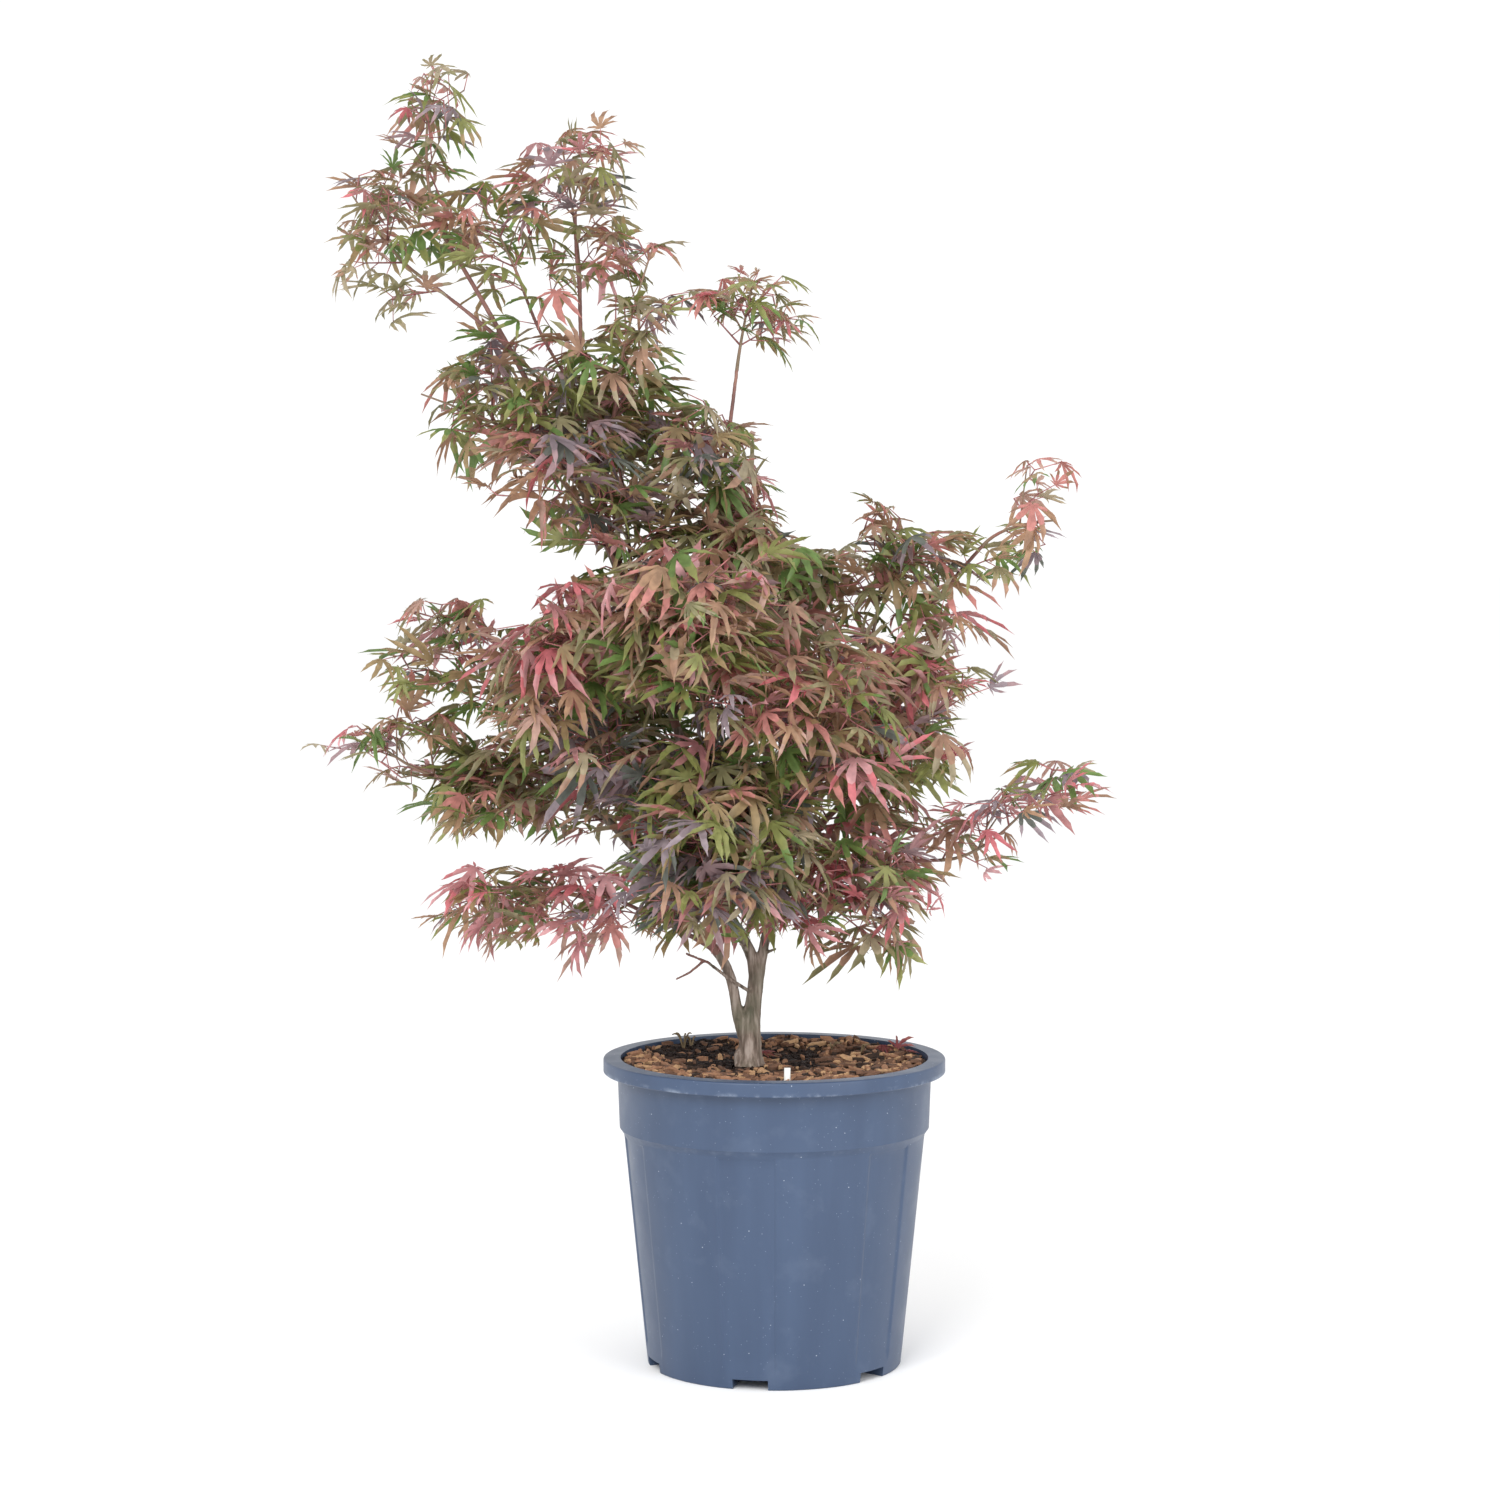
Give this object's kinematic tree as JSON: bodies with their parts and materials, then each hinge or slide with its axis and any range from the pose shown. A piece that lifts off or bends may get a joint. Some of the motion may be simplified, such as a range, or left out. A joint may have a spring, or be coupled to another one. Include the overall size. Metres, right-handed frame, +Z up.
{
  "type": "potted japanese maple",
  "caption": "Young Japanese maple with a low fork and an open crown of lobed autumn-tinted leaves, growing in a round tapered nursery pot that stands on its flat underside.",
  "frame": {"origin": "centre of the pot's flat underside, on the ground", "axes": "+Z up, -Y towards the front of the plant, +X to the right seen from the front"},
  "size_m": [0.7858, 0.5454, 1.2799],
  "materials": {
    "pot_plastic": "blue-grey moulded polypropylene, satin with a faint grain",
    "growing_medium": "dark compost under coarse bark chips, matt",
    "bark": "grey-brown bark with pale streaks, reddish on the young shoots",
    "leaf_green": "mid green leaf, thin and matt",
    "leaf_olive": "olive to bronze-green leaf, thin and matt",
    "leaf_bronze": "russet-bronze leaf, thin and matt",
    "leaf_pink": "salmon pink leaf, thin and matt",
    "leaf_purple": "grey-purple leaf with a dull sheen"
  },
  "bodies": {
    "root": {"pot": "pot_plastic", "growing_medium": "growing_medium", "trunk": "bark", "left_limb": "bark", "centre_limb": "bark", "right_limb": "bark", "leader_b": "bark", "leader_c": "bark", "leader_d": "bark", "left_shoulder_bough": "bark", "between_bough": "bark", "upper_left_bough": "bark", "upper_front_bough": "bark", "upper_right_bough": "bark", "upper_back_bough": "bark", "core_bough": "bark", "front_centre_bough": "bark", "back_centre_bough": "bark", "front_low_bough": "bark", "back_low_bough": "bark", "left_bottom_bough": "bark", "left_low_bough": "bark", "left_mid_bough": "bark", "left_front_bough": "bark", "back_left_bough": "bark", "right_inner_bough": "bark", "right_mid_bough": "bark", "right_low_bough": "bark", "right_bottom_bough": "bark", "front_right_bough": "bark", "back_right_bough": "bark", "crown_top": "leaf_olive", "left_shoulder": "leaf_olive", "between_leaders": "leaf_bronze", "upper_left": "leaf_olive", "leader_tip": "leaf_bronze", "leader_side": "leaf_bronze", "small_tip": "leaf_olive", "upper_front": "leaf_purple", "upper_right": "leaf_bronze", "upper_back": "leaf_green", "core": "leaf_bronze", "right_tip": "leaf_olive", "right_inner": "leaf_bronze", "right_mid": "leaf_pink", "right_low": "leaf_pink", "right_bottom": "leaf_pink", "left_mid": "leaf_olive", "left_tip": "leaf_olive", "left_low": "leaf_green", "left_bottom": "leaf_pink", "left_front": "leaf_pink", "front_centre": "leaf_bronze", "front_right": "leaf_bronze", "front_low": "leaf_purple", "back_left": "leaf_green", "back_centre": "leaf_olive", "back_right": "leaf_olive", "back_low": "leaf_green"}
  },
  "joints": []
}
